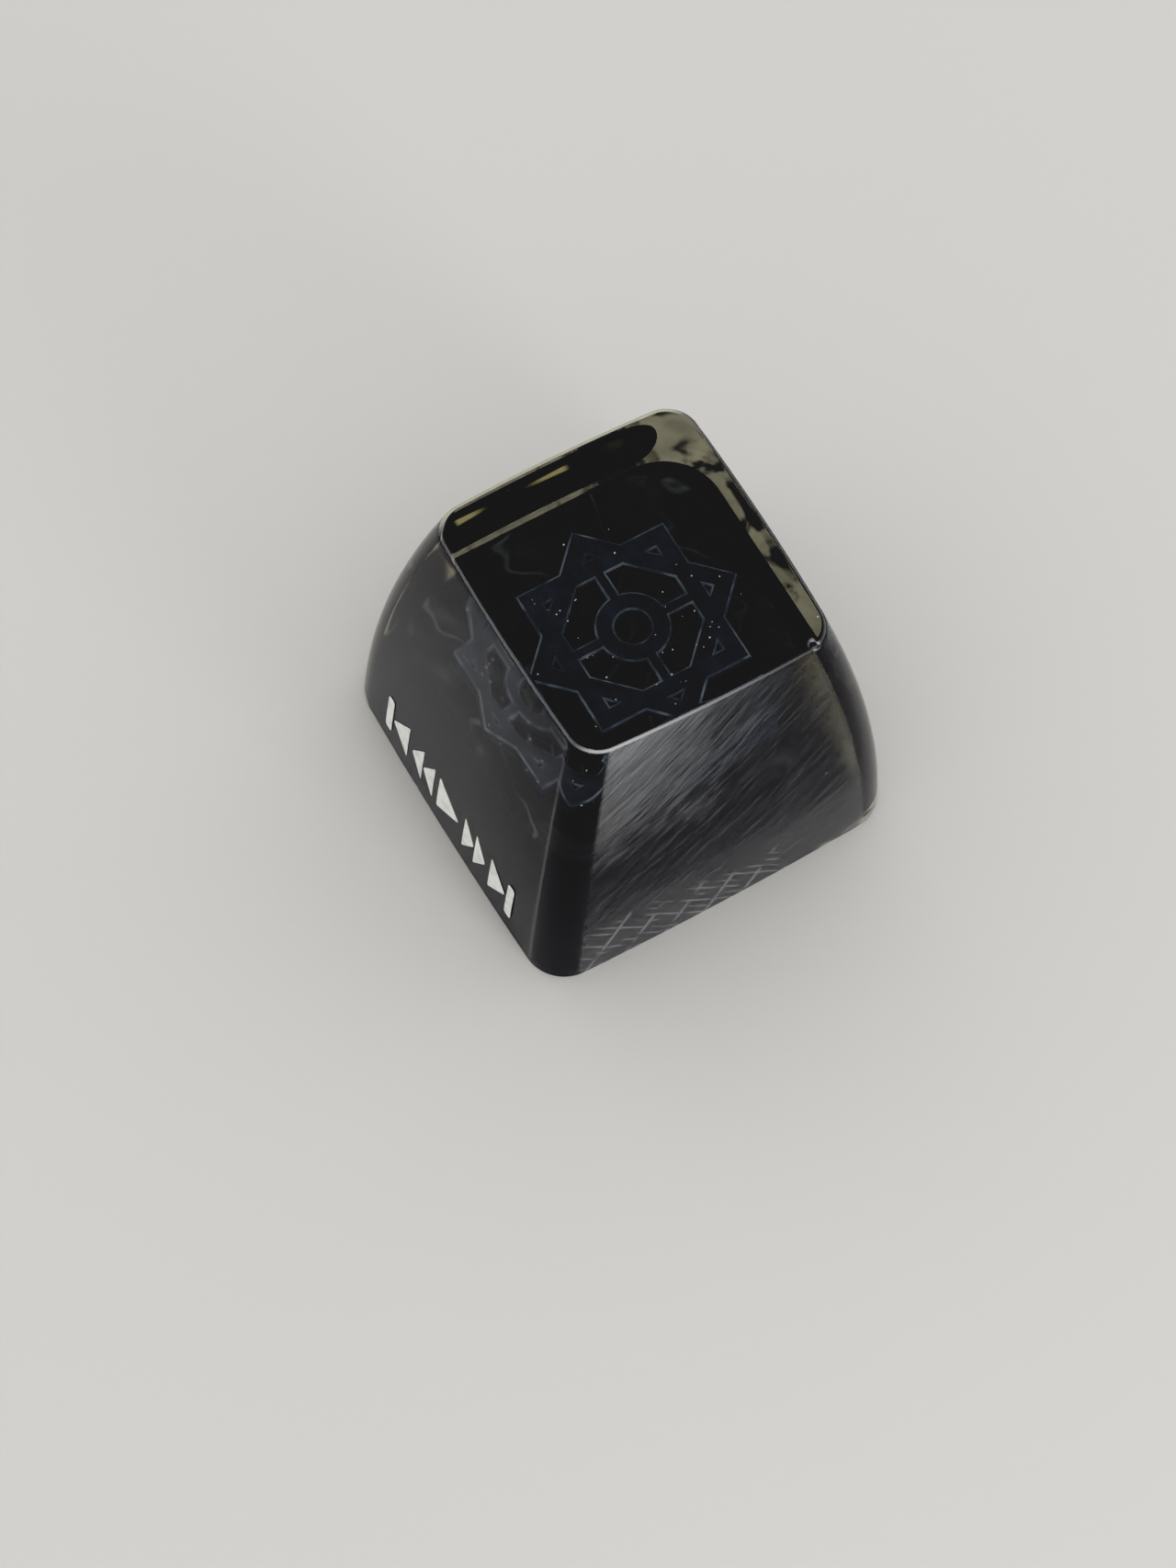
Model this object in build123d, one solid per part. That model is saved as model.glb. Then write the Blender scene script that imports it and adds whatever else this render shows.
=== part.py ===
"""Tall sculpted keycap of cast resin: a black core with a switch socket, a raised star and a clear overcast.

Millimetres, +Z up. The origin is the middle of the skirt's rim, which lies in the XY plane.
-Y is the front face of the cap, and the flat top leans back a little, so its front edge is the higher one.
"""
from build123d import *
import os
from math import radians, sqrt, tan

# Outer form of the clear overcast
base_width = 18.1
base_depth = 18.1
top_width = 13.5
top_depth = 12.8
top_setback = 0.2
cap_height = 16.1
top_lean = 3.0
side_bulge = 0.48
side_bow = 0.12
base_corner_radius = 1.9
top_corner_radius = 1.5
top_edge_chamfer = 0.25

# Black core inside it, cast a little off the middle, and how thickly the overcast covers it at the rim
core_height = 7.6
core_draft = 16.0
cover_front = 0.2
cover_back = 0.78
cover_left = 0.14
cover_right = 0.45
core_corner_radius = 3.0
core_edge_chamfer = 0.3

# Hollow underside of the core
hollow_width = 14.8
hollow_length = 14.8
hollow_draft = 13.0
hollow_corner_radius = 1.0
roof_thickness = 1.8

# Switch socket: a round post with a cross-shaped hole
post_diameter = 5.5
post_setback = 1.0
post_root_flare = 0.4
cross_length = 4.0
cross_bar_across = 1.2
cross_bar_along = 1.35
cross_clearance = 0.05
cross_hole_depth = 3.8

# Raised star on the core's top: two square frames turned on each other, and a ring on four spokes
star_width = 10.6
star_band = 0.95
star_height = 0.7
star_edge_chamfer = 0.12
ring_diameter = 3.4
ring_bore = 1.6
spoke_width = 0.6

# Levels at which the swelling outer sides are drawn
BODY_LEVELS = 5


def rounded_outline(plane, half_width, front, back, corner_radius):
    """Outline with four slightly bowed sides and round corners, drawn on the given plane."""
    side = half_width - side_bow
    near = -(front - side_bow)
    far = back - side_bow
    middle = (near + far) / 2
    with BuildSketch(plane) as outline:
        with BuildLine():
            ThreePointArc((-side, near), (0, -front), (side, near))
            ThreePointArc((side, near), (half_width, middle), (side, far))
            ThreePointArc((side, far), (0, back), (-side, far))
            ThreePointArc((-side, far), (-half_width, middle), (-side, near))
        make_face()
        fillet(outline.vertices(), corner_radius)
    return outline.sketch


def reach(level, base_half, top_half):
    """Distance from the axis to the swelling outer wall, at a level from 0 (rim) to 1 (top)."""
    swell = 4 * side_bulge * level * (1 - level)
    return base_half + (top_half - base_half) * level + swell


def outer_reaches(level):
    """Half width, front reach and back reach of the outer form at a level."""
    half_width = reach(level, base_width / 2, top_width / 2)
    front = reach(level, base_depth / 2, top_depth / 2 - top_setback)
    back = reach(level, base_depth / 2, top_depth / 2 + top_setback)
    return half_width, front, back


def blend(start, end, share):
    return start + (end - start) * share


def make_body():
    """The whole outer form, solid: a loft up to the leaning top, with its top edge eased."""
    sections = []
    for step in range(BODY_LEVELS):
        level = step / (BODY_LEVELS - 1)
        fall = tan(radians(top_lean)) * level
        plane = Plane(origin=(0, 0, cap_height * level), x_dir=(1, 0, 0), z_dir=(0, fall, 1))
        corner = blend(base_corner_radius, top_corner_radius, level)
        sections.append(rounded_outline(plane, *outer_reaches(level), corner))
    body = loft(sections)
    top_face = body.faces().sort_by(Axis.Z)[-1]
    return chamfer(top_face.edges(), top_edge_chamfer)


def drafted_block(width, length, height, draft, corner_radius):
    """Block that narrows upwards by a draft angle, its slanting corner edges rounded."""
    block = extrude(Rectangle(width, length), amount=height, taper=draft)
    corner_edges = block.edges().filter_by(lambda edge: abs(edge.tangent_at(0).Z) > 0.5)
    return fillet(corner_edges, corner_radius)


def make_core_form():
    """The core's outer form, solid: the overcast covers it thinly at the rim and thickly at its top."""
    width = base_width - cover_left - cover_right
    length = base_depth - cover_front - cover_back
    core = drafted_block(width, length, core_height, core_draft, core_corner_radius)
    core_top = core.faces().sort_by(Axis.Z)[-1]
    core = chamfer(core_top.edges(), core_edge_chamfer)
    return Pos((cover_left - cover_right) / 2, (cover_front - cover_back) / 2, 0) * core


def make_hollow():
    """Drafted space under the core's roof."""
    rise = core_height - roof_thickness
    return drafted_block(hollow_width, hollow_length, rise, hollow_draft, hollow_corner_radius)


def make_post():
    """Round post under the roof, flared at its root, with the cross-shaped hole for a switch stem."""
    roof = core_height - roof_thickness
    post_radius = post_diameter / 2
    post = Pos(0, 0, post_setback) * extrude(Circle(post_radius), amount=roof - post_setback)
    flare_cone = Cone(post_radius, post_radius + post_root_flare, post_root_flare)
    flare = Pos(0, 0, roof - post_root_flare / 2) * flare_cone
    with BuildSketch() as cross:
        Rectangle(cross_length + 2 * cross_clearance, cross_bar_across + 2 * cross_clearance)
        Rectangle(cross_bar_along + 2 * cross_clearance, cross_length + 2 * cross_clearance)
    hole = Pos(0, 0, post_setback) * extrude(cross.sketch, amount=cross_hole_depth)
    return post + flare - hole


def square_frame(turn):
    """Square band of the star, turned about its middle."""
    outer_side = star_width / sqrt(2)
    inner_side = outer_side - 2 * star_band
    return Rot(0, 0, turn) * (Rectangle(outer_side, outer_side) - Rectangle(inner_side, inner_side))


def make_star():
    """Raised star that lies flat on the core's top: two square bands and a ring held by spokes."""
    spoke_span = star_width / sqrt(2) - star_band
    spokes = Rectangle(spoke_span, spoke_width) + Rectangle(spoke_width, spoke_span)
    wheel = Circle(ring_diameter / 2) + spokes - Circle(ring_bore / 2)
    outline = square_frame(0) + square_frame(45) + wheel
    star = extrude(Pos(0, top_setback, core_height) * outline, amount=star_height)
    upper_edges = star.faces().sort_by(Axis.Z)[-1].edges()
    return chamfer(upper_edges, star_edge_chamfer)


core_form = make_core_form()
star_relief = make_star()
black_core = core_form - make_hollow() + make_post()
clear_overcast = make_body() - core_form - star_relief

os.makedirs("parts", exist_ok=True)
export_step(clear_overcast, "parts/clear_overcast.step")
export_step(black_core, "parts/black_core.step")
export_step(star_relief, "parts/star_relief.step")
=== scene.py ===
"""Keycap cast in resin: a clear block over a black core and a raised navy star, around its CAD frame.

The file is laid out as an add-on and run as a script. Lengths are metres; materials count in millimetres.
"""
import random
from math import atan, cos, radians, sin, tan

import bmesh
import bpy
from bpy.props import FloatProperty, FloatVectorProperty, IntProperty, PointerProperty
from bpy.types import Operator, Panel, PropertyGroup
from mathutils import Matrix, Vector


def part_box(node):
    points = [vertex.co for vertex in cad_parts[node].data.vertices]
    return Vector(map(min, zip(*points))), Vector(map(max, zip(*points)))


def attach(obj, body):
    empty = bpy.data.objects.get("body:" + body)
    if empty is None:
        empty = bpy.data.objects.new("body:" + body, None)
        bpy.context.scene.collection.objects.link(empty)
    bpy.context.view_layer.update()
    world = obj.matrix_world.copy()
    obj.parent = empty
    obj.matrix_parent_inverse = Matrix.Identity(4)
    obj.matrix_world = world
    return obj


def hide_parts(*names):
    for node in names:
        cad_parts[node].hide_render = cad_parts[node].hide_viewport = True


bl_info = {
    "name": "Cast resin keycap",
    "version": (1, 0, 0),
    "blender": (4, 5, 0),
    "location": "3D View > Sidebar > Keycap",
    "description": "Clear resin block, black core, raised star, bubbles, front marks and a small stage",
    "category": "Object",
}

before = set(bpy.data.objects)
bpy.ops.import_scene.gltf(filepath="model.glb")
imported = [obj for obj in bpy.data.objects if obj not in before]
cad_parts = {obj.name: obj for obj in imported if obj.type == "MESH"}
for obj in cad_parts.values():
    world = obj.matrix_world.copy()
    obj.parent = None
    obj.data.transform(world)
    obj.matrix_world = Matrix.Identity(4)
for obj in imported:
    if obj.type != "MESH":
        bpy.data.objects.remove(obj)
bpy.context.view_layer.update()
cap_low, cap_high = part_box("clear_overcast")
core_low, core_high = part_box("black_core")
star_low, star_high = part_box("star_relief")

MM = 0.001

# Values that the clear block's mesh carries, and the range in which a vertex counts as on a wall
RIGHT_LAYER = "right_wall"
FRONT_LAYER = "front_wall"
EDGE_LAYER = "top_edge"
ON_WALL = (0.97, 0.998)

# Modelling limits: edges flatter than the first are shaded smooth
SMOOTH_LIMIT = radians(35)
CUT_TOLERANCE = 1e-8
WALL_ROUNDS = 4

# Wave texture scale that gives one line per unit, and the chipped corner in millimetres
WAVE_SCALE = 0.314
CHIP_PLACE = (6.45, 5.35, 15.8)

# Bubbles over the star: distance from its middle, radius and height above it in millimetres
BUBBLE_SEED = 11
BUBBLE_COUNT = 34
BUBBLE_SPREAD = (1.2, 5.2)
BUBBLE_RADII = (0.018, 0.048)
BUBBLE_LIFTS = (0.0, 0.0, 0.1, 0.6)

# Number of marks printed on the front
MARK_PLACES = 5

# Stage in metres, picture in pixels, and the tones a phone camera gives
FLOOR_REACH = 0.6
FLOOR_DROP = 0.01 * MM
KEY_PLACE = Vector((0.225, 0.05, 0.095))
KEY_TARGET = Vector((0, 0, 8 * MM))
KEY_SIZE = 0.07
PHOTO_WIDTH = 1280
PHOTO_HEIGHT = 1706
SENSOR_WIDTH = 36.0
TONE_CURVE = (
    (0.02, 0.0065), (0.03, 0.0085), (0.047, 0.0105), (0.06, 0.016),
    (0.08, 0.031), (0.1, 0.054), (0.2, 0.155), (0.5, 0.5),
)
COOL_SHADOWS = ((0.03, 0.0335), (0.1, 0.1035), (0.3, 0.3))


def length(name, description, default):
    """Property for a length in metres."""
    return FloatProperty(
        name=name, description=description, default=default, unit="LENGTH", subtype="DISTANCE", precision=5
    )


def angle(name, description, degrees):
    """Property for an angle, its default given in degrees."""
    return FloatProperty(name=name, description=description, default=radians(degrees), subtype="ANGLE")


def colour(name, description, default):
    """Property for a linear colour."""
    return FloatVectorProperty(
        name=name, description=description, default=default, size=3, min=0.0, max=1.0, subtype="COLOR"
    )


def amount(name, description, default):
    """Property for a plain number."""
    return FloatProperty(name=name, description=description, default=default, precision=4)


def count(name, description, default):
    """Property for a whole number."""
    return IntProperty(name=name, description=description, default=default)


class CapForm(PropertyGroup):
    """Sizes of the clear block and of the space for the core in it."""

    base_width: length("Base width", "Side to side at the rim", cap_high.x - cap_low.x)
    base_depth: length("Base depth", "Front to back at the rim", cap_high.y - cap_low.y)
    top_width: length("Top width", "Side to side at the top", 13.5 * MM)
    top_depth: length("Top depth", "Front to back at the top", 12.8 * MM)
    top_setback: length("Top setback", "How far the top's middle lies behind the rim's", 0.2 * MM)
    height: length("Height", "Rim to the middle of the top", 16.1 * MM)
    top_lean: angle("Top lean", "How far the top leans back", 3.0)
    side_bulge: length("Side bulge", "Swell of the sides halfway up", 0.48 * MM)
    side_bow: length("Side bow", "Swell of the sides across their width", 0.12 * MM)
    base_corner: length("Base corner", "Radius of the upright corners at the rim", 1.9 * MM)
    top_corner: length("Top corner", "Radius of the upright corners at the top", 1.5 * MM)
    top_edge: length("Top edge", "Width of the rounding along the top's edge", 0.2 * MM)
    core_height: length("Core height", "Rim to the core's flat top", core_high.z)
    core_width: length("Core width", "Core from side to side at the rim", core_high.x - core_low.x)
    core_depth: length("Core depth", "Core from front to back at the rim", core_high.y - core_low.y)
    core_right: length("Core right", "Core's middle right of the cap's", (core_high.x + core_low.x) / 2)
    core_back: length("Core back", "Core's middle behind the cap's", (core_high.y + core_low.y) / 2)
    core_draft: angle("Core draft", "Slope of the core's sides", 16.0)
    core_corner: length("Core corner", "Radius of the core's upright corners", 3.0 * MM)
    core_edge: length("Core edge", "Bevel along the edge of the core's top", 0.3 * MM)
    core_tuck: length("Core tuck", "How far the clear block's inner wall hides inside the core", 0.08 * MM)
    corner_steps: count("Corner steps", "Faces round a corner", 14)
    side_steps: count("Side steps", "Faces along a side", 16)
    level_steps: count("Level steps", "Faces from rim to top", 32)
    edge_steps: count("Edge steps", "Faces across the top edge's rounding", 5)


class ResinLook(PropertyGroup):
    """Colours and finish of the resins and of the print."""

    clear_tint: colour("Clear tint", "Colour that light takes on inside the clear resin", (0.75, 0.72, 0.5))
    clear_density: amount("Clear density", "How strongly the clear resin tints, per metre", 60.0)
    clear_ior: amount("Clear IOR", "Index of refraction of the clear resin", 1.5)
    # Also the colour of the painted sheen, highlight and reflected lines on the clear resin
    haze: colour("Haze", "Rubbed, scratched or chipped resin", (0.75, 0.76, 0.775))
    # Painted light: the pale olive glow on the sanded left edge of the top, where light shines out of the
    # resin
    olive_edge_glow: colour("Old edge", "Yellowed edge on the left of the top", (0.62, 0.6, 0.42))
    rim_sand: colour("Rim", "Sanded rim under the clear resin", (0.92, 0.91, 0.84))
    # Painted shade: dark patches on the sanded rim for the shadows and dark reflections seen through the
    # resin
    rim_shade: colour("Smear", "Dark smears on the sanded rim", (0.03, 0.035, 0.05))
    black: colour("Black", "Core resin", (0.0042, 0.0045, 0.0055))
    wisp: colour("Wisp", "Cloudy streaks on the core's top", (0.07, 0.078, 0.088))
    # Painted glints: yellow light seen low on the core's left side through the resin
    glint_yellow: colour("Scuff", "Yellowed scuffs low on the core's left side", (0.62, 0.58, 0.34))
    navy: colour("Navy", "Star resin", (0.026, 0.037, 0.066))
    # Painted highlight on the star's bevels
    navy_highlight: colour("Navy edge", "Bevels of the star, which catch light", (0.14, 0.175, 0.235))
    bubble: colour("Bubble", "Air bubbles and dust in the resin", (0.85, 0.87, 0.9))
    print_white: colour("Print", "Marks printed on the front", (0.68, 0.68, 0.66))


class WearLook(PropertyGroup):
    """How much each kind of wear and painted light dulls the clear resin, from 0 to 1, and how rough two of
    its walls are.
    """

    # Sanded haze, with a painted sheen that is strongest at the upper front of the right wall
    haze: amount("Haze", "Rubbed upper front part of the right wall", 0.15)
    top_rub: amount("Top rub", "Right wall just below the top", 0.05)
    low_haze: amount("Low haze", "Right wall towards the rim", 0.062)
    hairlines: amount("Hairlines", "Fine streaks all over the right wall", 0.055)
    pale_hairlines: amount("Pale hairlines", "Sparse bright streaks on the right wall", 0.05)
    front_film: amount("Front film", "Front wall away from its right corner", 0.022)
    # Painted reflection of a woven floor, as crossed lines low on the right wall
    steep_lines: amount("Steep scratches", "Low on the right wall, rising to the back", 0.21)
    flat_lines: amount("Flat scratches", "Low on the right wall, falling to the back", 0.22)
    chip: amount("Chip", "Chipped back right corner of the top", 0.6)
    specks: amount("Specks", "Small specks all over", 0.6)
    any_edge: amount("Any edge", "Edge of the top all round", 0.05)
    front_edge: amount("Front edge", "What is added along the top's front", 0.06)
    # Painted highlight along the top's right edge, on top of its wear
    right_edge_and_highlight: amount("Right edge", "What is added along the top's right", 0.45)
    # Sanded left edge, painted pale olive for the light that shines out of the resin there
    left_edge_and_glow: amount("Left edge", "Yellowed edge on the left of the top", 0.5)
    corner_seam: amount("Corner seam", "Line where the front wall turns into the right corner", 0.06)
    rim: amount("Rim", "Sanded rim", 0.92)
    right_roughness: amount("Right roughness", "Least roughness of the right wall", 0.28)
    front_roughness: amount("Front roughness", "Roughness of the front wall", 0.11)


class FrontMarks(PropertyGroup):
    """Place and size of the printed marks on the front."""

    middle_height: length("Height", "Middle of the marks above the rim", 2.5 * MM)
    mark_height: length("Mark height", "Height of each mark", 2.6 * MM)
    row_width: length("Row width", "Width of the whole row", 11.4 * MM)
    corner: length("Corner", "Rounding of the marks' corners", 0.16 * MM)
    film: length("Film", "Thickness of the print", 0.02 * MM)
    fill: amount("Fill", "Share of its place that each mark is wide", 0.8)
    bar_fill: amount("Bar fill", "Share of its place that a bar is wide", 0.22)
    arrow_shift: amount("Arrow shift", "Arrow away from its bar, in bar widths", 0.6)
    bar_shift: amount("Bar shift", "Bar in from the mark's end, in bar widths", 0.4)
    pair_shift: amount("Pair shift", "Each of two arrows from their middle, in mark widths", 0.27)
    pair_width: amount("Pair width", "Width of each of two arrows, in mark widths", 0.5)
    corner_steps: count("Corner steps", "Edges round a mark's corner", 4)
    row_steps: count("Row steps", "Cuts along the row that follow the wall", 40)
    mark_steps: count("Mark steps", "Cuts up the marks that follow the wall", 8)


class StageLook(PropertyGroup):
    """Floor, light and camera."""

    floor: colour("Floor", "Pale floor", (0.58, 0.572, 0.557))
    light: colour("Light", "Colour of the soft light all round", (1.0, 0.995, 0.985))
    horizon_power: amount("Horizon power", "Strength of the low light", 1.75)
    ceiling_power: amount("Ceiling power", "Strength of the light from overhead", 0.75)
    dim_azimuth: angle("Dim azimuth", "Side on which the light all round is weaker", 57.309)
    dim_share: amount("Dim share", "How much weaker it is there", 0.25)
    key_power: amount("Key power", "Watts of the soft lamp on the right", 0.12)
    camera_azimuth: angle("Camera azimuth", "Turn of the camera round the cap", 57.309)
    camera_elevation: angle("Camera elevation", "Height of the camera above the floor", 65.25)
    camera_roll: angle("Camera roll", "Tilt of the camera about its own axis", 2.512)
    camera_distance: length("Camera distance", "Camera to the point it looks at", 263.701 * MM)
    target_height: length("Target height", "Height of the point the camera is placed from", 5.0 * MM)
    target_column: amount("Target column", "Picture column of that point, in pixels", 677.613)
    target_row: amount("Target row", "Picture row of that point, in pixels", 753.44)
    focal_pixels: amount("Focal length", "Focal length in picture pixels", 6500.0)


class KeycapSettings(PropertyGroup):
    """All settings of the keycap."""

    form: PointerProperty(type=CapForm)
    look: PointerProperty(type=ResinLook)
    wear: PointerProperty(type=WearLook)
    marks: PointerProperty(type=FrontMarks)
    stage: PointerProperty(type=StageLook)


class Wire:
    """An output in a node tree. Arithmetic on wires adds Math nodes."""

    def __init__(self, tree, socket=None):
        self.tree = tree
        self.socket = socket

    def node(self, kind, settings=None, inputs=None, output=0):
        """Add a node: its settings first, then the values or links of its sockets."""
        made = self.tree.nodes.new(kind)
        for name, value in (settings or {}).items():
            setattr(made, name, value)
        for key, value in (inputs or {}).items():
            if isinstance(value, Wire):
                self.tree.links.new(value.socket, made.inputs[key])
            else:
                made.inputs[key].default_value = value
        return Wire(self.tree, made.outputs[output])

    def math(self, operation, first, second=0.0):
        """Math node on two values or wires."""
        return self.node("ShaderNodeMath", {"operation": operation}, {0: first, 1: second})

    def __add__(self, other):
        return self.math("ADD", self, other)

    __radd__ = __add__

    def __sub__(self, other):
        return self.math("SUBTRACT", self, other)

    def __rsub__(self, other):
        return self.math("SUBTRACT", other, self)

    def __mul__(self, other):
        return self.math("MULTIPLY", self, other)

    __rmul__ = __mul__

    def __abs__(self):
        return self.math("ABSOLUTE", self)

    def at_most(self, other):
        """The smaller of two values."""
        return self.math("MINIMUM", self, other)

    def at_least(self, other):
        """The larger of two values."""
        return self.math("MAXIMUM", self, other)

    def rise(self, low, high):
        """Smooth step from 0 at low to 1 at high; high may be below low."""
        inputs = {"Value": self, "From Min": low, "From Max": high}
        return self.node("ShaderNodeMapRange", {"interpolation_type": "SMOOTHSTEP"}, inputs)

    def band(self, low, low_full, high_full, high):
        """1 from low_full to high_full, falling smoothly to 0 at low and high."""
        return self.rise(low, low_full) * self.rise(high, high_full)

    def place(self):
        """The piece's own coordinates, in millimetres."""
        metres = self.node("ShaderNodeTexCoord", output="Object")
        return self.node("ShaderNodeVectorMath", {"operation": "SCALE"}, {0: metres, "Scale": 1 / MM})

    def split(self):
        """The three parts of a vector."""
        return [self.node("ShaderNodeSeparateXYZ", inputs={0: self}, output=axis) for axis in "XYZ"]

    def layer(self, name):
        """A value that the mesh carries."""
        return self.node("ShaderNodeAttribute", {"attribute_name": name}, output="Fac")

    def turned(self, degrees, scale):
        """A vector turned about X, then stretched."""
        rotation = (radians(degrees), 0, 0)
        spun = self.node("ShaderNodeMapping", inputs={"Vector": self, "Rotation": rotation})
        return self.node("ShaderNodeVectorMath", {"operation": "MULTIPLY"}, {0: spun, 1: scale})

    def noise(self, scale, detail=2.0, roughness=0.5, distortion=0.0):
        """Noise value read at this vector."""
        inputs = {
            "Vector": self, "Scale": scale, "Detail": detail,
            "Roughness": roughness, "Distortion": distortion,
        }
        return self.node("ShaderNodeTexNoise", inputs=inputs)

    def streaks(self, degrees, along, across, detail=2.0, roughness=0.5):
        """Noise drawn out in the YZ plane: its cells per millimetre along the streaks and across them."""
        return self.turned(degrees, (1.0, along, across)).noise(1.0, detail, roughness)

    def lines(self, degrees, spacing, share):
        """Wavering lines in the YZ plane, a spacing apart; a share near 1 makes them thin."""
        spun = self.turned(degrees, (1.0, 1.0, 1.0))
        inputs = {
            "Vector": spun, "Scale": WAVE_SCALE / spacing, "Distortion": 0.4 / spacing, "Detail": 1.0,
        }
        wave = self.node("ShaderNodeTexWave", {"bands_direction": "Z"}, inputs, output="Fac")
        return wave.rise(share, 1.0)

    def dots(self, scale, size, share):
        """Round dots of a size, in the given share of the cells of a Voronoi pattern."""
        cells = {"Vector": self, "Scale": scale}
        distance = self.node("ShaderNodeTexVoronoi", inputs=cells)
        tone = self.node("ShaderNodeTexVoronoi", inputs=cells, output="Color").split()[0]
        return distance.rise(size, size * 0.4) * tone.rise(1 - share, 1 - share + 0.01)

    def tinted(self, first, second):
        """First colour where this wire is 0, second where it is 1."""
        settings = {"data_type": "RGBA"}
        ends = [end if isinstance(end, Wire) else (*end, 1.0) for end in (first, second)]
        return self.node("ShaderNodeMix", settings, {"Factor": self, 6: ends[0], 7: ends[1]}, output=2)


def new_material(name):
    """Material with an empty tree: the material and a first wire."""
    material = bpy.data.materials.new(name)
    material.use_nodes = True
    material.node_tree.nodes.clear()
    return material, Wire(material.node_tree)


def to_surface(start, shader, volume=None):
    """Link a shader, and a volume if there is one, to the material's output."""
    inputs = {"Surface": shader}
    if volume:
        inputs["Volume"] = volume
    out = start.tree.nodes.new("ShaderNodeOutputMaterial")
    for key, wire in inputs.items():
        start.tree.links.new(wire.socket, out.inputs[key])


def darker(shade, share):
    """A colour with each of its parts brought down to a share."""
    return tuple(part * share for part in shade)


def right_wall_hairs(place):
    """Fine streaks that rise towards the back, coarse and fine ones mixed."""
    coarse = place.streaks(-28, 0.4, 6.5, 3.0, 0.65).rise(0.35, 0.62)
    fine = place.streaks(-38, 0.5, 13.0, 2.0, 0.6).rise(0.36, 0.64)
    return coarse * 0.5 + fine * 0.5


def wall_haze(place, right, front, hairs, wear):
    """Haze on the right wall, faded from high up in front as a painted sheen, and a thin film on the front
    wall.
    """
    x, y, z = place.split()
    pale_hairs = place.streaks(-33, 0.6, 14.0, 3.0, 0.7).rise(0.5, 0.7)
    # The haze is the wall's sanded finish; its fade from the upper front towards the rim and the back is a
    # painted sheen
    reach = z.rise(4.5, 16.6) * y.rise(5.5, -6.5)
    haze = (reach + (hairs - 0.5) * 0.3).rise(0.08, 1.1) * (0.78 + 0.44 * hairs)
    under_top = z.rise(15.1, 16.4) * y.rise(6.5, -4.0)
    near_rim = z.rise(8.0, 0.5)
    cloudy = haze * wear.haze + under_top * wear.top_rub + near_rim * wear.low_haze
    streaky = (hairs - 0.48) * wear.hairlines + pale_hairs * wear.pale_hairlines
    film = front * x.rise(8.0, -1.0) * wear.front_film
    return right * (cloudy + streaky) + film


def reflected_crossed_lines(place, wear):
    """Pale crossed lines low at the front end of the right wall, with a ragged border: a painted reflection
    of a woven floor.
    """
    y, z = place.split()[1:]
    steep = place.lines(-58, 1.7, 0.91) * place.streaks(-58, 0.8, 0.7).rise(0.36, 0.58)
    flat = place.lines(42, 0.44, 0.6) * place.streaks(42, 0.6, 2.2).rise(0.34, 0.6)
    ragged = place.noise(0.5).rise(0.3, 0.7) * 2.0
    low_corner = (z + ragged).rise(5.4, 3.2) * (y + ragged).rise(5.0, 2.0)
    return low_corner * (steep * wear.steep_lines).at_least(flat * wear.flat_lines)


def small_damage(place, wear):
    """A chip at the back right corner of the top, and specks."""
    ends = {0: place, 1: CHIP_PLACE}
    away = place.node("ShaderNodeVectorMath", {"operation": "DISTANCE"}, ends, output="Value")
    chip = away.rise(0.4, 0.1) * place.noise(4.0, 2.0).rise(0.4, 0.65) * wear.chip
    return chip.at_least(place.dots(1.3, 0.06, 0.06) * wear.specks)


def edge_wear_and_light(place, edge, left_side, front, wear):
    """Edge wear of the top all round, with a painted highlight along its right that fades towards the back,
    a pale olive glow painted along its left, and the seam down the front right corner.
    """
    x, y = place.split()[:2]
    # Along the right the pale edge is wear plus a painted highlight, strongest at the front
    right_side = x.rise(5.6, 6.4) * y.rise(5.0, -6.5)
    front_side = y.rise(-5.2, -6.0)
    thin = wear.any_edge + wear.front_edge * front_side + wear.right_edge_and_highlight * right_side
    # The broad left edge is sanded, and painted pale olive for light shining through the resin from inside
    broad = edge.rise(0.0, 0.5) * left_side * wear.left_edge_and_glow
    seam = front.band(0.984, 0.994, 0.996, 1.0) * x.rise(5.0, 6.0) * wear.corner_seam
    return (edge.rise(0.5, 1.0) * thin).at_least(broad).at_least(seam)


def sanded_rim(place, look):
    """Colour of the sanded rim: cloudy and pale, with dark patches painted for the shadows and dark
    reflections seen through the clear resin.
    """
    x, y = place.split()[:2]
    # Where more painted shade falls on the rim: towards the front and right, and at three places at the
    # left and back
    front_and_right = (x - y).rise(0.0, 3.0)
    left = x.rise(-8.4, -8.8) * y.band(0.5, 6.5, 6.6, 7.0)
    back_left = x.band(-8.1, -7.6, -7.2, -6.4) * y.rise(7.2, 7.7) * 0.75
    back = x.band(-6.8, -5.8, -2.4, -0.6) * y.rise(8.5, 8.8) * 0.85
    shade_places = front_and_right.at_least(left).at_least(back_left).at_least(back)
    shaded = (place.noise(0.45, 3.0, 0.6, 0.6) + shade_places * 0.22).rise(0.5, 0.66)
    cloudy = place.noise(0.35, 3.0, 0.6).rise(0.36, 0.62)
    pale = cloudy.tinted(darker(look.rim_sand, 0.7), look.rim_sand)
    return shaded.tinted(pale, look.rim_shade)


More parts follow.
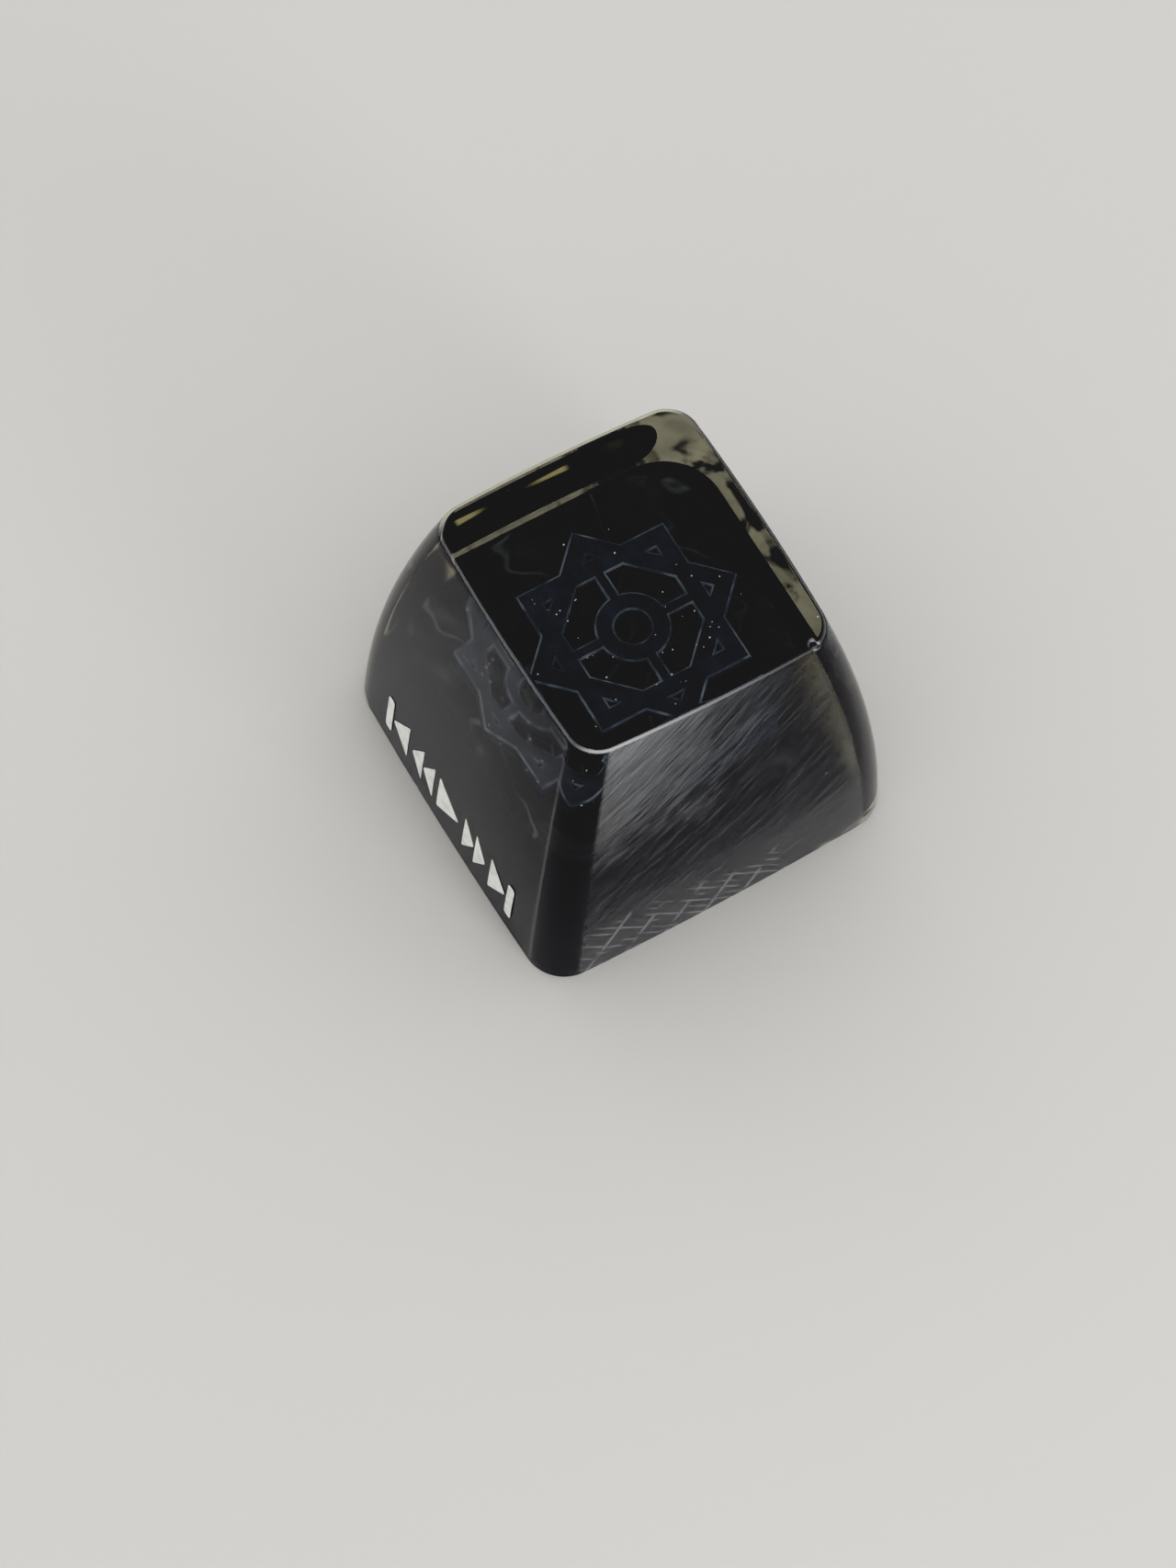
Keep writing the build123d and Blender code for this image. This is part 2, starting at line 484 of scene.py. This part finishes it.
def clear_resin(look, wear):
    """Clear cast resin: glossy, with haze, fine scratch lines, a painted sheen and painted reflected lines
    on the right wall, edge wear with a painted highlight and olive glow, and a sanded rim with painted
    shade.
    """
    material, start = new_material("clear_resin")
    place = start.place()
    x, _, z = place.split()
    facing_z = start.node("ShaderNodeNewGeometry", output="Normal").split()[2]
    right = start.layer(RIGHT_LAYER).rise(*ON_WALL)
    front_facing = start.layer(FRONT_LAYER)
    front = front_facing.rise(*ON_WALL)
    edge = start.layer(EDGE_LAYER)
    left_side = x.rise(-5.6, -6.4)
    rim = z.rise(0.06, 0.03) * abs(facing_z).rise(0.5, 0.8)

    hairs = right_wall_hairs(place)
    # Painted reflection of a woven floor as pale crossed lines; the same lines also roughen the wall as
    # bumps
    crossed_lines = right * reflected_crossed_lines(place, wear)
    haze_sheen_and_reflection = wall_haze(place, right, front, hairs, wear).at_least(crossed_lines)
    edges = edge_wear_and_light(place, edge, left_side, front_facing, wear)
    # The dull coat covers real wear and also the painted sheen, highlight, olive glow and reflected lines
    marks = haze_sheen_and_reflection.at_least(small_damage(place, wear)).at_least(edges)
    dull_share = marks.at_least(rim * wear.rim).at_most(1.0)

    relief = {"Strength": 0.03, "Distance": 0.02 * MM, "Height": (hairs + crossed_lines) * right}
    bump = start.node("ShaderNodeBump", inputs=relief)
    gloss = right * (wear.right_roughness + 0.06 * hairs) + front * wear.front_roughness
    clear = start.node(
        "ShaderNodeBsdfPrincipled",
        inputs={
            "Base Color": (1.0, 1.0, 1.0, 1.0), "Transmission Weight": 1.0, "IOR": look.clear_ior,
            "Roughness": gloss, "Normal": bump,
        },
    )
    # Colour of the dull coat: haze, with the painted olive glow on the top's left edge
    dull_colour = (edge * left_side).tinted(look.haze, look.olive_edge_glow)
    base = rim.tinted(dull_colour, sanded_rim(place, look))
    dull = start.node(
        "ShaderNodeBsdfPrincipled",
        inputs={"Base Color": base, "Roughness": 0.55, "Specular IOR Level": 0.3},
    )
    surface = start.node("ShaderNodeMixShader", inputs={0: dull_share, 1: clear, 2: dull})
    tint = start.node(
        "ShaderNodeVolumeAbsorption",
        inputs={"Color": (*look.clear_tint, 1.0), "Density": look.clear_density},
    )
    to_surface(start, surface, tint)
    return material


def black_resin(look):
    """Black core resin: dull where the clear resin wets it, glossy in the open hollow underneath, with
    yellow glints painted low on its left side.
    """
    material, start = new_material("black_resin")
    place = start.place()
    x, y, z = place.split()
    facing_x, facing_y, facing_z = start.node("ShaderNodeNewGeometry", output="Normal").split()
    post = (x * x + y * y).rise(16.0, 14.0)
    inward = (x * facing_x + y * facing_y).rise(-0.5, -1.5)
    hollow = z.rise(6.6, 6.2) * post.at_least(inward).at_least(facing_z.rise(-0.4, -0.6))
    swirl = place.noise(0.16, 2.0, 0.5, 0.8)
    thread = abs(swirl - 0.5).rise(0.02, 0.002) * place.noise(0.3, 1.0).rise(0.35, 0.6)
    drift = place.noise(0.4, 4.0, 0.6, 0.5).rise(0.45, 0.85) * 0.7
    streaks = (thread + drift).at_most(1.0) * z.rise(7.2, 7.5)
    grain = place.noise(3.0, 3.0, 0.6)
    # Painted glints: two yellow streaks and a faint one low on the core's left side, where refracted light
    # shows through the resin
    bright = y.band(-3.2, -2.9, -2.4, -1.3) + y.band(0.2, 1.5, 2.3, 2.8)
    faint = y.band(4.0, 5.0, 5.2, 6.2) * 0.1
    glints = (bright + faint) * z.band(1.64, 1.7, 1.84, 1.91) * x.rise(-7.9, -8.3)
    base = glints.tinted(streaks.tinted(look.black, look.wisp), look.glint_yellow)
    shader = start.node(
        "ShaderNodeBsdfPrincipled",
        inputs={
            "Base Color": base, "Roughness": 0.32 + grain * 0.16, "Specular IOR Level": 0.0,
            "Coat Weight": hollow, "Coat Roughness": 0.22,
        },
    )
    to_surface(start, shader)
    return material


def navy_resin(look):
    """Navy star resin: mottled, with a highlight painted on its bevels and dust on it."""
    material, start = new_material("navy_resin")
    place = start.place()
    z = place.split()[2]
    mottle = place.noise(0.9, 4.0, 0.6).rise(0.3, 0.75) * place.noise(0.22, 2.0).rise(0.3, 0.55)
    low = star_low.z / MM
    high = star_high.z / MM
    # Painted highlight along the star's bevels, patchy
    bevel = z.band(high - 0.14, high - 0.1, high - 0.012, high - 0.002)
    patchy = 0.2 + 0.8 * place.noise(0.8, 3.0).rise(0.38, 0.68)
    dust = place.dots(2.4, 0.12, 0.1)
    field = mottle.tinted(darker(look.navy, 0.35), look.navy)
    foot = z.rise(low + 0.25, low)
    with_highlight = (bevel * patchy).at_most(1.0).tinted(field, look.navy_highlight)
    base = (dust * (1 - foot) * 0.8).tinted(with_highlight, look.bubble)
    shader = start.node(
        "ShaderNodeBsdfPrincipled",
        inputs={"Base Color": base, "Roughness": 0.4 + mottle * 0.2, "Specular IOR Level": 0.1},
    )
    to_surface(start, shader)
    return material


def bubble_white(look):
    """Bright skin of the air bubbles."""
    material, start = new_material("bubble_white")
    tone = start.place().noise(6.0, 2.0)
    base = tone.tinted(darker(look.bubble, 0.8), look.bubble)
    finish = {"Base Color": base, "Roughness": 0.35 + tone * 0.1}
    shader = start.node("ShaderNodeBsdfPrincipled", inputs=finish)
    to_surface(start, shader)
    return material


def print_ink(look):
    """White ink of the front marks, a little uneven."""
    material, start = new_material("print_ink")
    place = start.place()
    uneven = place.noise(2.2, 4.0, 0.6)
    base = uneven.rise(0.35, 0.6).tinted(darker(look.print_white, 0.8), look.print_white)
    bump = start.node("ShaderNodeBump", inputs={"Strength": 0.2, "Distance": 0.01 * MM, "Height": uneven})
    finish = {"Base Color": base, "Roughness": 0.4 + uneven * 0.2, "Normal": bump}
    shader = start.node("ShaderNodeBsdfPrincipled", inputs=finish)
    to_surface(start, shader)
    return material


def floor_paint(stage):
    """Plain pale floor, a little uneven."""
    material, start = new_material("floor_paint")
    uneven = start.place().noise(0.03, 2.0)
    base = uneven.tinted(darker(stage.floor, 0.97), stage.floor)
    finish = {"Base Color": base, "Roughness": 0.55 + uneven * 0.1}
    shader = start.node("ShaderNodeBsdfPrincipled", inputs=finish)
    to_surface(start, shader)
    return material


def blend(start, end, share):
    """Value a share of the way from start to end."""
    return start + (end - start) * share


def outer_reaches(form, level):
    """Half width, front reach and back reach of the cap at a level from 0 (rim) to 1 (top)."""
    swell = 4 * form.side_bulge * level * (1 - level)
    half_width = blend(form.base_width, form.top_width, level) / 2 + swell
    half_depth = blend(form.base_depth, form.top_depth, level) / 2 + swell
    setback = form.top_setback * level
    return half_width, half_depth - setback, half_depth + setback


def lean_at(form, level):
    """Lean of the section at a level: none at the rim, the whole lean at the top."""
    return atan(tan(form.top_lean) * level)


def swell_out(form, vertex, half, corner):
    """Move a vertex of the straight rounded tube onto the cap's swelling wall; gives its way outward."""
    inner = half - corner
    place = vertex.co.xy
    across = Vector((max(-inner, min(inner, place.x)), max(-inner, min(inner, place.y))))
    outward = (place - across).normalized()
    level = vertex.co.z / form.height
    half_width, front, back = outer_reaches(form, level)
    radius = blend(form.base_corner, form.top_corner, level)
    share_x = (across.x / inner + 1) / 2
    share_y = (across.y / inner + 1) / 2
    bow_x = 4 * share_y * (1 - share_y) * abs(outward.x)
    bow_y = 4 * share_x * (1 - share_x) * abs(outward.y)
    margin = form.side_bow + radius
    reach_out = radius + form.side_bow * (bow_x + bow_y)
    wide = blend(margin - half_width, half_width - margin, share_x) + outward.x * reach_out
    deep = blend(margin - front, back - margin, share_y) + outward.y * reach_out
    lean = lean_at(form, level)
    vertex.co = (wide, deep * cos(lean), form.height * level - deep * sin(lean))
    return outward


def cut_along(bm, axis, places):
    """Cut the whole mesh across one axis at the given places."""
    for place in places:
        whole = bm.verts[:] + bm.edges[:] + bm.faces[:]
        spot = Vector((0, 0, 0))
        spot[axis] = place
        normal = Vector((0, 0, 0))
        normal[axis] = 1
        bmesh.ops.bisect_plane(bm, geom=whole, plane_co=spot, plane_no=normal, dist=CUT_TOLERANCE)


def even_steps(low, high, steps):
    """Places between low and high, without the two ends."""
    return [blend(low, high, step / steps) for step in range(1, steps)]


def open_ends(bm, ends):
    """Delete the flat end faces that point up or down."""
    caps = [face for face in bm.faces if any(face.normal.z * end > 0.9 for end in ends)]
    bmesh.ops.delete(bm, geom=caps, context="FACES")


def boundary_edges(bm, above, below):
    """Open edges between two heights."""
    found = []
    for edge in bm.edges:
        heights = [vertex.co.z for vertex in edge.verts]
        if edge.is_boundary and min(heights) > above and max(heights) < below:
            found.append(edge)
    return found


def add_outer_wall(bm, form):
    """Swelling outer wall with its leaning top and rounded top edge."""
    half = form.base_width / 2
    corner = form.base_corner
    size = Matrix.Diagonal((half, half, form.height / 2, 1))
    bmesh.ops.create_cube(bm, size=2.0, matrix=Matrix.Translation((0, 0, form.height / 2)) @ size)
    uprights = [edge for edge in bm.edges if abs(edge.verts[0].co.z - edge.verts[1].co.z) > form.height / 2]
    bmesh.ops.bevel(
        bm, geom=uprights, offset=corner, offset_type="OFFSET", affect="EDGES",
        segments=form.corner_steps, profile=0.5, material=-1,
    )
    open_ends(bm, (1, -1))
    flats = even_steps(corner - half, half - corner, form.side_steps)
    cut_along(bm, 0, flats)
    cut_along(bm, 1, flats)
    cut_along(bm, 2, even_steps(0, form.height, form.level_steps))
    right = bm.verts.layers.float.new(RIGHT_LAYER)
    front = bm.verts.layers.float.new(FRONT_LAYER)
    eased = bm.verts.layers.float.new(EDGE_LAYER)
    for vertex in bm.verts:
        outward = swell_out(form, vertex, half, corner)
        vertex[right] = max(0.0, outward.x)
        vertex[front] = max(0.0, -outward.y)
    top_edges = boundary_edges(bm, form.height * 0.9, form.height * 1.1)
    bmesh.ops.contextual_create(bm, geom=top_edges)
    rounding = bmesh.ops.bevel(
        bm, geom=top_edges, offset=form.top_edge, offset_type="OFFSET", affect="EDGES",
        segments=form.edge_steps, profile=0.5, material=-1,
    )["faces"]
    strip = set(rounding)
    inner = {vertex for face in strip for vertex in face.verts if strip.issuperset(vertex.link_faces)}
    for vertex in inner:
        middle = all(edge.other_vert(vertex) in inner for edge in vertex.link_edges)
        vertex[eased] = 1.0 if middle else 0.5
    top_face = max(bm.faces, key=lambda face: len(face.verts))
    bmesh.ops.inset_individual(bm, faces=[top_face], thickness=form.top_edge / form.edge_steps)
    for vertex in top_face.verts:
        vertex[right] = 0.0
        vertex[front] = 0.0


def core_space(form):
    """Mesh of the space that the core fills, open below: a drafted block with round corners."""
    bm = bmesh.new()
    wide = form.core_width / 2 - form.core_tuck
    deep = form.core_depth / 2 - form.core_tuck
    height = form.core_height - form.core_tuck
    draw_in = height * tan(form.core_draft)
    size = Matrix.Diagonal((wide, deep, height / 2, 1))
    bmesh.ops.create_cube(bm, size=2.0, matrix=Matrix.Translation((0, 0, height / 2)) @ size)
    upper = [vertex for vertex in bm.verts if vertex.co.z > height / 2]
    bmesh.ops.scale(bm, vec=(1 - draw_in / wide, 1 - draw_in / deep, 1), verts=upper)
    uprights = [edge for edge in bm.edges if abs(edge.verts[0].co.z - edge.verts[1].co.z) > height / 2]
    bmesh.ops.bevel(
        bm, geom=uprights, offset=form.core_corner, offset_type="OFFSET", affect="EDGES",
        segments=form.corner_steps, profile=0.5, material=-1,
    )
    rim = [edge for edge in bm.edges if min(vertex.co.z for vertex in edge.verts) > height * 0.99]
    bmesh.ops.bevel(
        bm, geom=rim, offset=form.core_edge, offset_type="OFFSET", affect="EDGES",
        segments=1, profile=0.5, material=-1,
    )
    bmesh.ops.translate(bm, vec=(form.core_right, form.core_back, form.core_tuck / 4), verts=bm.verts)
    bm.normal_update()
    open_ends(bm, (-1,))
    mesh = bpy.data.meshes.new("core_space")
    bm.to_mesh(mesh)
    bm.free()
    return mesh


def new_piece(bm, name, material):
    """Object from a finished bmesh, in the scene and with its material."""
    mesh = bpy.data.meshes.new(name)
    bm.to_mesh(mesh)
    bm.free()
    mesh.materials.append(material)
    piece = bpy.data.objects.new(name, mesh)
    bpy.context.scene.collection.objects.link(piece)
    return piece


def dress_node(name, material):
    """Give a CAD node its finish."""
    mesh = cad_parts[name].data
    mesh.materials.clear()
    mesh.materials.append(material)


class KEYCAP_OT_clear_block(Operator):
    """Cast the clear resin block around the space for the core"""

    bl_idname = "keycap.clear_block"
    bl_label = "Clear block"

    def execute(self, context):
        settings = context.scene.keycap
        form = settings.form
        bm = bmesh.new()
        add_outer_wall(bm, form)
        space = core_space(form)
        bm.from_mesh(space)
        bpy.data.meshes.remove(space)
        rim = boundary_edges(bm, -form.height, form.height * 0.1)
        bmesh.ops.triangle_fill(bm, use_beauty=True, use_dissolve=False, edges=rim, normal=(0, 0, -1))
        bmesh.ops.recalc_face_normals(bm, faces=bm.faces)
        for face in bm.faces:
            face.smooth = True
        for edge in bm.edges:
            if not edge.is_manifold:
                raise RuntimeError("the clear block isn't closed")
            edge.smooth = edge.calc_face_angle(0.0) < SMOOTH_LIMIT
        piece = new_piece(bm, "clear_block", clear_resin(settings.look, settings.wear))
        weighted = piece.modifiers.new("even_normals", "WEIGHTED_NORMAL")
        weighted.keep_sharp = True
        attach(piece, "root")
        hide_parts("clear_overcast")
        return {"FINISHED"}


class KEYCAP_OT_black_core(Operator):
    """Finish the black core"""

    bl_idname = "keycap.black_core"
    bl_label = "Black core"

    def execute(self, context):
        dress_node("black_core", black_resin(context.scene.keycap.look))
        return {"FINISHED"}


class KEYCAP_OT_star(Operator):
    """Finish the raised star"""

    bl_idname = "keycap.star"
    bl_label = "Raised star"

    def execute(self, context):
        dress_node("star_relief", navy_resin(context.scene.keycap.look))
        return {"FINISHED"}


class KEYCAP_OT_bubbles(Operator):
    """Scatter small bubbles over the star"""

    bl_idname = "keycap.bubbles"
    bl_label = "Bubbles"

    def execute(self, context):
        draw = random.Random(BUBBLE_SEED)
        middle = context.scene.keycap.form.top_setback
        bm = bmesh.new()
        for _ in range(BUBBLE_COUNT):
            turn = draw.uniform(0, radians(360))
            out = draw.uniform(*BUBBLE_SPREAD) * MM
            radius = draw.uniform(*BUBBLE_RADII) * MM
            lift = draw.choice(BUBBLE_LIFTS) * MM
            spot = Vector((cos(turn) * out, sin(turn) * out + middle, star_high.z + radius + lift))
            bmesh.ops.create_icosphere(bm, subdivisions=2, radius=radius, matrix=Matrix.Translation(spot))
        for face in bm.faces:
            face.smooth = True
        piece = new_piece(bm, "resin_bubbles", bubble_white(context.scene.keycap.look))
        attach(piece, "root")
        return {"FINISHED"}


def arrow_mark(bm, middle, width, height, point):
    """Flat triangle in the XZ plane that points left (-1) or right (1)."""
    made = bmesh.ops.create_circle(bm, cap_ends=True, radius=1.0, segments=3)["verts"]
    tips = ((point * width / 2, 0), (-point * width / 2, height / 2), (-point * width / 2, -height / 2))
    for vertex, (x, z) in zip(made, tips):
        vertex.co = (middle + x, 0, z)
    return made


def bar_mark(bm, middle, width, height):
    """Flat upright bar in the XZ plane."""
    size = Matrix.Diagonal((width / 2, height / 2, 1, 1))
    turn = Matrix.Rotation(radians(90), 4, "X")
    matrix = Matrix.Translation((middle, 0, 0)) @ turn @ size
    return bmesh.ops.create_grid(bm, x_segments=1, y_segments=1, size=1.0, matrix=matrix)["verts"]


def front_wall(form, x, z):
    """Point of the front wall at a sideways place and a height, found in a few rounds."""
    level = z / form.height
    for _ in range(WALL_ROUNDS):
        half_width, front = outer_reaches(form, level)[:2]
        lean = lean_at(form, level)
        bow = form.side_bow * (x / half_width) ** 2
        deep = bow - front
        level = (z + deep * sin(lean)) / form.height
    return Vector((x, deep * cos(lean), z))


class KEYCAP_OT_front_marks(Operator):
    """Print a row of playback marks low on the front"""

    bl_idname = "keycap.front_marks"
    bl_label = "Front marks"

    def execute(self, context):
        settings = context.scene.keycap
        marks = settings.marks
        form = settings.form
        bm = bmesh.new()
        step = marks.row_width / MARK_PLACES
        high = marks.mark_height
        wide = step * marks.fill
        bar = step * marks.bar_fill
        for place, point in ((-2, -1), (2, 1)):
            arrow_mark(bm, place * step - point * bar * marks.arrow_shift, wide - bar, high, point)
            bar_mark(bm, place * step + point * (wide / 2 - bar * marks.bar_shift), bar, high)
        for place, point in ((-1, -1), (1, 1)):
            for side in (-1, 1):
                middle = place * step + side * wide * marks.pair_shift
                arrow_mark(bm, middle, wide * marks.pair_width, high, point)
        arrow_mark(bm, 0, wide, high, 1)
        bmesh.ops.bevel(
            bm, geom=bm.verts[:], offset=marks.corner, offset_type="OFFSET", affect="VERTICES",
            segments=marks.corner_steps, profile=0.5, material=-1,
        )
        cut_along(bm, 0, even_steps(-marks.row_width / 2, marks.row_width / 2, marks.row_steps))
        cut_along(bm, 2, even_steps(-high / 2, high / 2, marks.mark_steps))
        bmesh.ops.recalc_face_normals(bm, faces=bm.faces)
        facing_back = [face for face in bm.faces if face.normal.y > 0]
        bmesh.ops.reverse_faces(bm, faces=facing_back)
        for vertex in bm.verts:
            vertex.co = front_wall(form, vertex.co.x, vertex.co.z + marks.middle_height)
        bm.normal_update()
        bmesh.ops.solidify(bm, geom=bm.faces[:], thickness=-marks.film)
        bmesh.ops.recalc_face_normals(bm, faces=bm.faces)
        piece = new_piece(bm, "front_marks", print_ink(settings.look))
        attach(piece, "root")
        return {"FINISHED"}


def add_soft_lamp(name, place, target, size, power):
    """Square soft lamp that looks at a point."""
    lamp = bpy.data.lights.new(name, "AREA")
    lamp.size = size
    lamp.energy = power
    holder = bpy.data.objects.new(name, lamp)
    holder.location = place
    holder.rotation_euler = (target - place).to_track_quat("-Z", "Y").to_euler()
    bpy.context.scene.collection.objects.link(holder)


def add_world(stage):
    """Soft light all round, strongest from low down and a little weaker on one side."""
    world = bpy.data.worlds.new("studio")
    world.use_nodes = True
    world.node_tree.nodes.clear()
    bpy.context.scene.world = world
    start = Wire(world.node_tree)
    x, y, z = start.node("ShaderNodeTexCoord", output="Generated").split()
    low = z.rise(0.9, 0.3)
    dim_side = (x * sin(stage.dim_azimuth) - y * cos(stage.dim_azimuth)).rise(-0.2, 0.9)
    overhead = stage.ceiling_power
    strength = (overhead + low * (stage.horizon_power - overhead)) * (1 - stage.dim_share * dim_side)
    sky = start.node("ShaderNodeBackground", inputs={"Color": (*stage.light, 1.0), "Strength": strength})
    out = world.node_tree.nodes.new("ShaderNodeOutputWorld")
    world.node_tree.links.new(sky.socket, out.inputs["Surface"])


def set_tone(view):
    """Camera-like tones: deep blacks under a pale floor."""
    view.view_transform = "Standard"
    view.use_curve_mapping = True
    curves = view.curve_mapping.curves
    for curve, points in ((curves[3], TONE_CURVE), (curves[2], COOL_SHADOWS)):
        for place, level in points:
            curve.points.new(place, level)
    view.curve_mapping.update()


def add_camera(stage):
    """Camera at the picture's viewpoint."""
    azimuth, elevation, roll = stage.camera_azimuth, stage.camera_elevation, stage.camera_roll
    back = Vector((sin(azimuth) * cos(elevation), -cos(azimuth) * cos(elevation), sin(elevation)))
    right = Vector((cos(azimuth), sin(azimuth), 0))
    up = back.cross(right)
    rolled_right = right * cos(roll) + up * sin(roll)
    rolled_up = up * cos(roll) - right * sin(roll)
    scale = stage.camera_distance / stage.focal_pixels
    shift_right = (stage.target_column - PHOTO_WIDTH / 2) * scale
    shift_up = (PHOTO_HEIGHT / 2 - stage.target_row) * scale
    target = Vector((0, 0, stage.target_height))
    pose = Matrix((rolled_right, rolled_up, back)).transposed().to_4x4()
    shift = rolled_right * shift_right + rolled_up * shift_up
    pose.translation = target + back * stage.camera_distance - shift
    camera = bpy.data.cameras.new("camera")
    camera.sensor_fit = "HORIZONTAL"
    camera.sensor_width = SENSOR_WIDTH
    camera.lens = SENSOR_WIDTH * stage.focal_pixels / PHOTO_WIDTH
    camera.clip_start = MM
    holder = bpy.data.objects.new("camera", camera)
    holder.matrix_world = pose
    bpy.context.scene.collection.objects.link(holder)
    bpy.context.scene.camera = holder


class KEYCAP_OT_stage(Operator):
    """Set up the floor, the light and the camera"""

    bl_idname = "keycap.stage"
    bl_label = "Stage"

    def execute(self, context):
        stage = context.scene.keycap.stage
        bm = bmesh.new()
        below = Matrix.Translation((0, 0, -FLOOR_DROP))
        bmesh.ops.create_grid(bm, x_segments=1, y_segments=1, size=FLOOR_REACH, matrix=below)
        floor = new_piece(bm, "floor", floor_paint(stage))
        add_world(stage)
        add_soft_lamp("key", KEY_PLACE, KEY_TARGET, KEY_SIZE, stage.key_power)
        add_camera(stage)
        set_tone(context.scene.view_settings)
        return {"FINISHED"}


OPERATORS = (
    KEYCAP_OT_clear_block,
    KEYCAP_OT_black_core,
    KEYCAP_OT_star,
    KEYCAP_OT_bubbles,
    KEYCAP_OT_front_marks,
    KEYCAP_OT_stage,
)


class KEYCAP_PT_panel(Panel):
    """Lists the keycap's pieces and its stage"""

    bl_idname = "KEYCAP_PT_panel"
    bl_label = "Cast resin keycap"
    bl_space_type = "VIEW_3D"
    bl_region_type = "UI"
    bl_category = "Keycap"

    def draw(self, context):
        """One button per operator."""
        for operator in OPERATORS:
            self.layout.operator(operator.bl_idname)


GROUPS = (CapForm, ResinLook, WearLook, FrontMarks, StageLook, KeycapSettings)
CLASSES = (*GROUPS, *OPERATORS, KEYCAP_PT_panel)


def register():
    """Add the classes, and the settings to the scene."""
    for kind in CLASSES:
        bpy.utils.register_class(kind)
    bpy.types.Scene.keycap = PointerProperty(type=KeycapSettings)


def unregister():
    """Take the settings and the classes away again."""
    del bpy.types.Scene.keycap
    for kind in reversed(CLASSES):
        bpy.utils.unregister_class(kind)


def main():
    """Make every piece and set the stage."""
    register()
    bpy.ops.keycap.clear_block()
    bpy.ops.keycap.black_core()
    bpy.ops.keycap.star()
    bpy.ops.keycap.bubbles()
    bpy.ops.keycap.front_marks()
    bpy.ops.keycap.stage()


if __name__ == "__main__":
    main()
